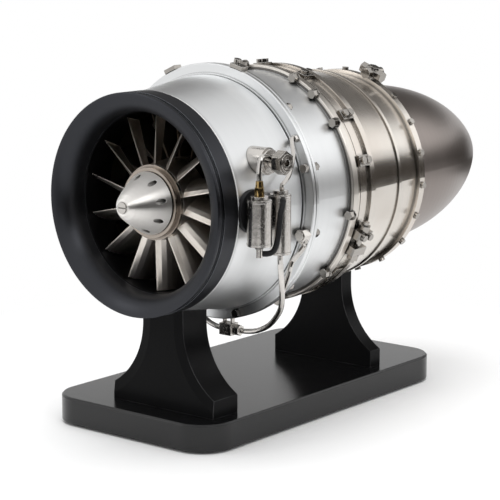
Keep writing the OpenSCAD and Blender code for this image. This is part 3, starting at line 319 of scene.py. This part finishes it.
def casing_bands(m, hot_color):
    """Bands of the casings: a matt rim behind the lip painted near white as a highlight, painted shade
    behind that rim, a smooth flange, a hot end with its face painted dark as a shadow, and a dark bore.
    """
    place = m.node("ShaderNodeSeparateXYZ")
    m.link(m.coords(), place.inputs[0])
    along = place.outputs["Y"]
    up = m.math("SUBTRACT", place.outputs["Z"], AXIS_Z)
    square = m.math("ADD", m.math("POWER", place.outputs["X"], 2.0), m.math("POWER", up, 2.0))
    radius = m.math("SQRT", square)
    bore = m.math("LESS_THAN", radius, BORE_R)
    flange = m.math("GREATER_THAN", radius, FLANGE_R)
    flange_top = m.math("GREATER_THAN", radius, FLANGE_TOP_R)
    lead = m.math("MULTIPLY", flange_top, FLANGE_TOP_LEAD)
    hot_end = m.math("GREATER_THAN", m.math("ADD", along, lead), HOT_END_Y)
    hot_face = m.math("MULTIPLY", m.math("GREATER_THAN", along, HOT_FACE_Y),
                      m.math("GREATER_THAN", radius, HOT_FACE_R))
    rim = m.math("LESS_THAN", along, RIM_END_Y)
    behind_rim = m.span(along, RIM_SHADE_SHARE, 0, *RIM_SHADE_Y)
    tones = m.mix(m.math("MULTIPLY", flange, FLANGE_SHARE), m.shades, FLANGE_TONE)
    # The flange face before the hot end painted dark: a painted shadow in the gap there
    tones = m.mix(hot_face, tones, HOT_FACE_SHADE)
    tones = m.mix(hot_end, tones, hot_color)
    # Painted shade on the casing just behind the rim
    tones = m.mix(behind_rim, tones, RIM_SHADE_TONE)
    # The rim behind the lip painted near white: a painted highlight
    tones = m.mix(rim, tones, RIM_HIGHLIGHT)
    m.wear("Base Color", m.mix(bore, tones, BORE_TONE))
    gloss = m.math("SUBTRACT", m.gloss, m.math("MULTIPLY", flange, FLANGE_SMOOTH))
    m.wear("Roughness", m.math("ADD", gloss, m.math("MULTIPLY", rim, RIM_ROUGH)))


casing_bands(silver, nickel.color)

# Nodes of each look; bolts, screws, clamps and other fittings stay in plain steel
LOOKS = {
    plate_mat: "base_plate",
    lacquer: "front_pedestal rear_pedestal",
    rubber: "rubber_feet valve_pad black_pipe",
    lip_mat: "intake_lip",
    silver: "front_casing mid_casing",
    blade_mat: "fan",
    spinner_mat: "spinner",
    nickel: "clamp_band band_strip hot_casing rear_casing",
    hub_mat: "hub_ring",
    bronze: "exhaust_shell tail_cone turbine_wheel",
    brass: "brass_collar",
    valve_mat: "front_valve rear_valve union_drum pipe_tee pipe_fitting",
    tube_mat: "elbow_tube fuel_pipe cross_pipe thin_line loop_stub spinner_bolt",
    inner: "stator_ring shaft_tunnel front_bearing rear_bearing nozzle_ring main_shaft shaft_nut",
}
for o in nodes.values():
    o.data.materials.clear()
    o.data.materials.append(steel.data)
for look, names in LOOKS.items():
    for name in names.split():
        nodes[name].data.materials[0] = look.data


# Stage: floor, world, flags, lamps and camera

FLOOR_HALF = 6
FLOOR_TONE = (0.95, 0.95, 0.95)
FLOOR_DARK = (0.945, 0.945, 0.945)
FLOOR_LIGHT = (0.955, 0.955, 0.955)
SHADOW_REACH = (0.28, 0.55)
SKY_LIGHT = 0.75
SKY_SEEN = 1.0
FLAG_STEP = 6


def staged(name, points, faces, mat):
    mesh = bpy.data.meshes.new(name)
    mesh.from_pydata(points, [], faces)
    mesh.materials.append(mat)
    o = bpy.data.objects.new(name, mesh)
    scene.collection.objects.link(o)
    return o


def white_seen(tree):
    """1 for what the camera, a mirror or glass sees, 0 for light on matt surfaces."""
    path = tree.nodes.new("ShaderNodeLightPath")
    value = path.outputs["Is Camera Ray"]
    for other in ("Is Glossy Ray", "Is Transmission Ray"):
        most = tree.nodes.new("ShaderNodeMath")
        most.operation = "MAXIMUM"
        tree.links.new(value, most.inputs[0])
        tree.links.new(path.outputs[other], most.inputs[1])
        value = most.outputs["Value"]
    return value


def floor():
    """A pale floor that keeps the object's shadow near it and turns to plain white further off."""
    m = Mat("floor", FLOOR_TONE, 0.0, 0.6)
    m.put("Specular IOR Level", 0.1)
    m.wear("Base Color", m.mix(m.noise(m.coords(), FLOOR_GRAIN, 3.0), FLOOR_DARK, FLOOR_LIGHT))
    far = m.node("ShaderNodeVectorMath", operation="LENGTH")
    m.link(m.coords(), far.inputs[0])
    away = m.span(far.outputs["Value"], 0, 1, *SHADOW_REACH)
    glow = m.node("ShaderNodeEmission")
    both = m.node("ShaderNodeMixShader")
    m.link(m.math("MULTIPLY", away, white_seen(m.tree)), both.inputs["Fac"])
    m.link(m.shader.outputs["BSDF"], both.inputs[1])
    m.link(glow.outputs["Emission"], both.inputs[2])
    m.link(both.outputs["Shader"], m.tree.nodes["Material Output"].inputs["Surface"])
    h = FLOOR_HALF
    staged("floor", [(-h, -h, 0), (h, -h, 0), (h, h, 0), (-h, h, 0)], [(0, 1, 2, 3)], m.data)


def sky():
    """An even white world, somewhat weaker as light on matt surfaces."""
    world = bpy.data.worlds.new("studio")
    scene.world = world
    world.use_nodes = True
    tree = world.node_tree
    back = tree.nodes["Background"]
    back.inputs["Color"].default_value = (1, 1, 1, 1)
    level = tree.nodes.new("ShaderNodeMapRange")
    level.inputs["To Min"].default_value = SKY_LIGHT
    level.inputs["To Max"].default_value = SKY_SEEN
    tree.links.new(white_seen(tree), level.inputs["Value"])
    tree.links.new(level.outputs["Result"], back.inputs["Strength"])


def flag(name, radius, angles, heights, value):
    """A curved studio flag from one compass angle to another, which only mirrors show."""
    start, end = angles
    steps = max(2, round((end - start) / FLAG_STEP))
    turns = [math.radians(start + (end - start) * k / steps) for k in range(steps + 1)]
    points = [(radius * math.cos(a), radius * math.sin(a), z) for a in turns for z in heights]
    faces = [(2 * k, 2 * k + 2, 2 * k + 3, 2 * k + 1) for k in range(steps)]
    m = Mat(name, (0, 0, 0), 0.0, 1.0)
    m.put("Emission Color", (*value, 1))
    m.put("Emission Strength", 1.0)
    m.put("Specular IOR Level", 0.0)
    o = staged(name, points, faces, m.data)
    o.visible_camera = False
    o.visible_diffuse = False
    o.visible_shadow = False


def aimed(o, place, aim):
    o.location = place
    o.rotation_euler = (Vector(aim) - o.location).to_track_quat("-Z", "Y").to_euler()
    scene.collection.objects.link(o)


def lamp(name, place, aim, size, power, mirrored):
    data = bpy.data.lights.new(name, "AREA")
    data.shape = "RECTANGLE"
    data.size, data.size_y = size
    data.energy = power
    o = bpy.data.objects.new(name, data)
    o.visible_glossy = mirrored
    aimed(o, place, aim)


# Each flag's radius, compass angles, heights and tone
FLAGS = {
    "low_flag": (1.9, (20, 98), (0.0, 0.46), (0.055, 0.048, 0.042)),
    "near_flag": (1.25, (75, 112), (0.0, 0.12), (0.05, 0.045, 0.04)),
    "left_flag": (1.25, (250, 292), (0.0, 0.2), (0.01, 0.01, 0.012)),
    "far_flag": (1.25, (165, 218), (0.0, 0.09), (0.01, 0.01, 0.012)),
    "right_flag": (0.8, (-72, 6), (0.12, 0.5), (0.02, 0.018, 0.016)),
    "valve_flag": (0.8, (-44, -14), (0.0, 0.12), (0.02, 0.018, 0.016)),
    "back_flag": (2.3, (79, 156), (0.8, 3.0), (0.14, 0.134, 0.128)),
}

# Each lamp's place, aim, size and power, and whether metal mirrors it
LAMPS = {
    "key": ((1.9, -0.9, 1.7), (0, 0, 0.2), (1.0, 1.0), 8, True),
    "fill": ((-1.4, -1.8, 1.2), (0, -0.2, 0.25), (0.5, 1.0), 3, True),
    "side": ((1.05, 1.6, 1.02), (0, 0, 0.25), (1.1, 0.8), 1.1, True),
    "top": ((0.0, 0.0, 2.4), (0, 0, 0.2), (2.2, 2.2), 38, False),
}

CAMERA_PLACE = (1.12969, -1.43703, 0.5003)
CAMERA_AIM = (0, -0.034345, 0.16836)
CAMERA_LENS = 128.2
CAMERA_SENSOR = 36.0

floor()
sky()
for name, row in FLAGS.items():
    flag(name, *row)
for name, row in LAMPS.items():
    lamp(name, *row)

camera_data = bpy.data.cameras.new("camera")
camera_data.sensor_width = CAMERA_SENSOR
camera_data.lens = CAMERA_LENS
camera = bpy.data.objects.new("camera", camera_data)
aimed(camera, CAMERA_PLACE, CAMERA_AIM)
scene.camera = camera
scene.view_settings.view_transform = "Standard"
